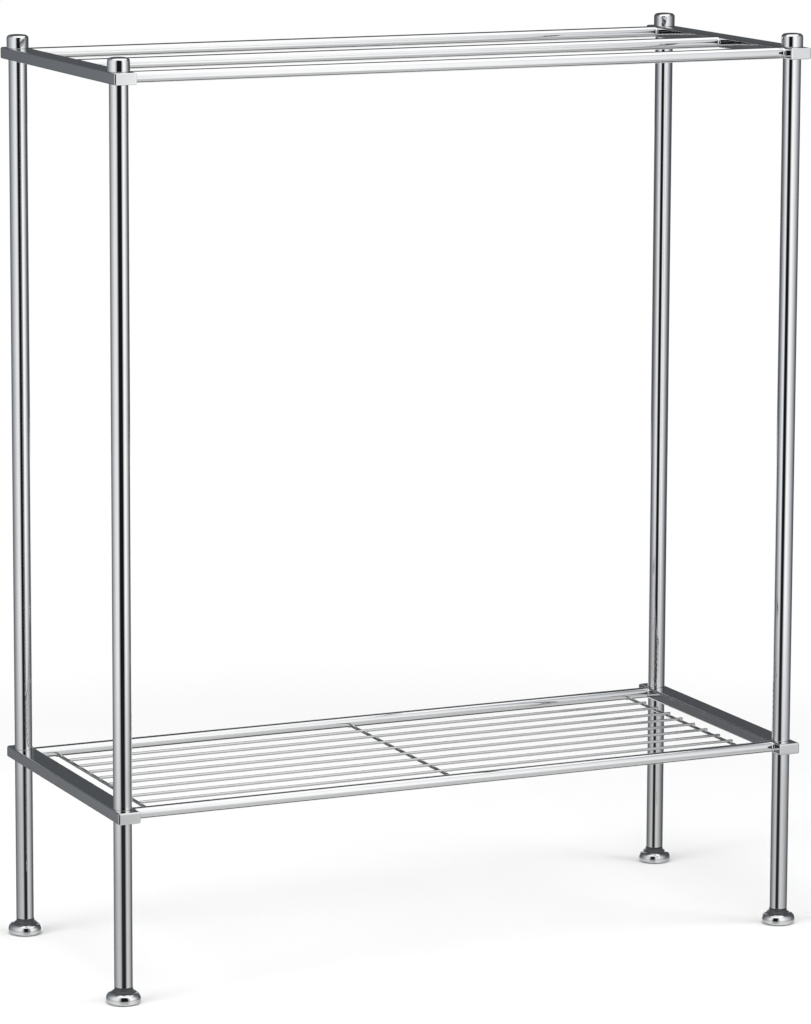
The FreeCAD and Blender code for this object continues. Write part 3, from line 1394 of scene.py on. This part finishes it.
@dataclass(frozen=True)
class PaperFloor(Finish):
    """Matt white paper that runs out into the white background."""

    name: str = "matt_white_paper"
    tint: str = "#F5F5F5"
    fade_start_m: float = 0.75
    fade_end_m: float = 1.15
    mirror_near_m: float = 0.012
    mirror_far_m: float = 0.022
    mirror_share: float = 0.5

    def surface(self, tree: NodeTree) -> NodeSocket:
        """Build the paper, its run-out and its short mirror image.

        Args:
            tree: Tree of the material.

        Returns:
            Output socket of the shader.
        """
        place = add_node(tree, "ShaderNodeTexCoord").outputs["Object"]
        reach = add_node(
            tree, "ShaderNodeVectorMath", {"Vector": place}, operation="LENGTH"
        ).outputs["Value"]
        fade = add_node(
            tree,
            "ShaderNodeMapRange",
            {"Value": reach, "From Min": self.fade_start_m, "From Max": self.fade_end_m},
            interpolation_type="SMOOTHSTEP",
        ).outputs["Result"]
        paper = add_node(tree, "ShaderNodeBsdfDiffuse", {"Color": linear(self.tint)}).outputs["BSDF"]
        white = add_node(tree, "ShaderNodeEmission", {"Strength": 1.0}).outputs["Emission"]
        floor = add_node(
            tree, "ShaderNodeMixShader", {"Fac": fade, "Shader": paper, "Shader_001": white}
        ).outputs["Shader"]
        path = add_node(tree, "ShaderNodeLightPath")
        distance = add_node(
            tree,
            "ShaderNodeMapRange",
            {
                "Value": path.outputs["Ray Length"],
                "From Min": self.mirror_near_m,
                "From Max": self.mirror_far_m,
                "To Min": 1 - self.mirror_share,
            },
        ).outputs["Result"]
        hidden = add_node(
            tree,
            "ShaderNodeMath",
            {"Value": path.outputs["Is Glossy Ray"], "Value_001": distance},
            operation="MULTIPLY",
        ).outputs["Value"]
        clear = add_node(tree, "ShaderNodeBsdfTransparent").outputs["BSDF"]
        return add_node(
            tree, "ShaderNodeMixShader", {"Fac": hidden, "Shader": floor, "Shader_001": clear}
        ).outputs["Shader"]


@dataclass(frozen=True)
class Lamp:
    """Soft rectangular lamp aimed at the stand."""

    name: str
    position_m: tuple[float, float, float]
    size_m: tuple[float, float]
    watts: float


@dataclass
class Studio:
    """Pale floor, soft lamps, and the wall and level cards that the chrome mirrors."""

    wall_radius_m: float = 1.1
    floor_radius_m: float = 1.3
    ambient: float = 0.55
    aim_m: tuple[float, float, float] = (0.0, 0.0, 0.3)
    overhead: LevelGlow = LevelGlow("overhead_softbox", 1.8, front=1.40, back=0.10, edge_m=(0.36, 0.48))
    underside: LevelGlow = LevelGlow("floor_card", -0.6, front=0.70, back=0.10, edge_m=(-0.05, 0.05))
    # The wide one stays below what the shelf bars' tops mirror, and the narrow one between the bars.
    behind: tuple[BackGlow, ...] = (
        BackGlow("back_softbox_wide", width_m=1.01, low_m=-0.60, high_m=0.26),
        BackGlow("back_softbox_narrow", width_m=0.40, low_m=0.26, high_m=0.62, glow=0.45),
    )
    lamps: tuple[Lamp, ...] = (
        Lamp("lamp_overhead", (-0.3, -0.5, 2.4), (2.0, 1.6), 32.0),
        Lamp("lamp_right", (2.0, -1.3, 1.5), (1.2, 1.6), 18.0),
        Lamp("lamp_left", (-2.1, -0.2, 1.5), (1.2, 1.6), 18.0),
    )

    def stand_card(self, name: str, form: BMesh, finish: Finish) -> Object:
        """Put up a card that only mirrors see.

        Args:
            name: Name of the card.
            form: Its shape; it is freed.
            finish: Its glow.

        Returns:
            The card's object.
        """
        card = set_up(name, form, finish)
        card.visible_camera = False
        card.visible_diffuse = False
        card.visible_shadow = False
        return card

    def put_up_wall(self) -> Object:
        """Put up the round wall between the level cards.

        Returns:
            The wall's object.
        """
        form = bmesh.new()
        low = form.verts.new((self.wall_radius_m, 0, self.underside.height_m))
        high = form.verts.new((self.wall_radius_m, 0, self.overhead.height_m))
        edge = form.edges.new((low, high))
        bmesh.ops.spin(
            form,
            geom=[low, high, edge],
            cent=(0, 0, 0),
            axis=UP,
            angle=math.tau,
            steps=ROUND_SEGMENTS,
            use_merge=True,
        )
        return self.stand_card("studio_wall", form, WallGlow())

    def level_card(self, glow: LevelGlow) -> Object:
        """Put up one level card above or below the stand.

        Args:
            glow: Its height and brightness.

        Returns:
            The card's object.
        """
        form = bmesh.new()
        bmesh.ops.create_circle(form, cap_ends=True, radius=self.wall_radius_m, segments=ROUND_SEGMENTS)
        bmesh.ops.translate(form, vec=(0, 0, glow.height_m), verts=form.verts[:])
        return self.stand_card(glow.name, form, glow)

    def stand_behind(self, glow: BackGlow) -> Object:
        """Put up one softbox behind the stand.

        Args:
            glow: Its place, size and brightness.

        Returns:
            The softbox's object.
        """
        form = bmesh.new()
        ends = [
            form.verts.new((glow.reach_m, -side.sign * glow.width_m / 2, glow.low_m)) for side in Side
        ]
        risen = bmesh.ops.extrude_edge_only(form, edges=[form.edges.new(ends)])["geom"]
        top = [item for item in risen if isinstance(item, BMVert)]
        bmesh.ops.translate(form, vec=(0, 0, glow.high_m - glow.low_m), verts=top)
        turn = Matrix.Rotation(math.radians(glow.bearing_deg), 3, "Z")
        bmesh.ops.rotate(form, cent=(0, 0, 0), matrix=turn, verts=form.verts[:])
        return self.stand_card(glow.name, form, glow)

    def lay_floor(self) -> Object:
        """Lay the paper floor.

        Returns:
            The floor's object.
        """
        form = bmesh.new()
        bmesh.ops.create_circle(form, cap_ends=True, radius=self.floor_radius_m, segments=ROUND_SEGMENTS)
        floor = set_up("paper_floor", form, PaperFloor())
        return floor

    def hang_lamp(self, lamp: Lamp) -> Object:
        """Hang one soft lamp.

        Args:
            lamp: Its place, size and power.

        Returns:
            The lamp's object.
        """
        light = bpy.data.lights.new(lamp.name, "AREA")
        light.shape = "RECTANGLE"
        light.size, light.size_y = lamp.size_m
        light.energy = lamp.watts
        hung = bpy.data.objects.new(lamp.name, light)
        hung.location = lamp.position_m
        aim = Vector(self.aim_m) - Vector(lamp.position_m)
        hung.rotation_euler = aim.to_track_quat("-Z", "Y").to_euler()
        # The cards are what the chrome mirrors in place of the lamps.
        hung.visible_glossy = False
        bpy.context.scene.collection.objects.link(hung)
        return hung

    def light_world(self) -> None:
        """Make the background white to the eye and in mirrors, and a soft fill for everything else."""
        world = bpy.data.worlds.new("white_background")
        world.use_nodes = True
        tree = world.node_tree
        tree.nodes.clear()
        path = add_node(tree, "ShaderNodeLightPath").outputs
        direct = add_node(
            tree,
            "ShaderNodeMath",
            {"Value": path["Is Camera Ray"], "Value_001": path["Is Glossy Ray"]},
            operation="MAXIMUM",
        ).outputs["Value"]
        seen = add_node(
            tree,
            "ShaderNodeMath",
            {"Value": direct, "Value_001": path["Is Transmission Ray"]},
            operation="MAXIMUM",
        ).outputs["Value"]
        strength = add_node(
            tree, "ShaderNodeMapRange", {"Value": seen, "To Min": self.ambient, "To Max": 1.0}
        ).outputs["Result"]
        sky = add_node(tree, "ShaderNodeBackground", {"Color": linear("#FFFFFF"), "Strength": strength})
        add_node(tree, "ShaderNodeOutputWorld", {"Surface": sky.outputs["Background"]})
        world.cycles.sampling_method = "NONE"
        bpy.context.scene.world = world

    def build(self) -> Iterator[Object]:
        """Build the floor, the cards and the lamps one by one.

        Returns:
            Each object of the studio.
        """
        self.light_world()
        yield self.lay_floor()
        yield self.put_up_wall()
        yield self.level_card(self.overhead)
        yield self.level_card(self.underside)
        for glow in self.behind:
            yield self.stand_behind(glow)
        for lamp in self.lamps:
            yield self.hang_lamp(lamp)


def main() -> None:
    """Build the stand, its studio and its camera, and report each piece."""
    logging.basicConfig(level=logging.INFO, format="%(name)s: %(message)s")
    bpy.context.scene.view_settings.view_transform = "Standard"
    assemblies = [Uprights(), EndBars(), Rails(), WireShelf(), Caps(), LevellingFeet()]
    for assembly in assemblies:
        for piece in assembly.build():
            made = assembly.dress(piece)
            LOG.info("%s on %s, %d faces", made.name, piece.body, len(made.data.polygons))
    for part in HiddenHardware().dress():
        LOG.info("%s keeps its frame shape", part.name)
    for item in Studio().build():
        LOG.info("studio: %s", item.name)
    LOG.info("camera: %s", PhotoCamera().place().name)


if __name__ == "__main__":
    main()
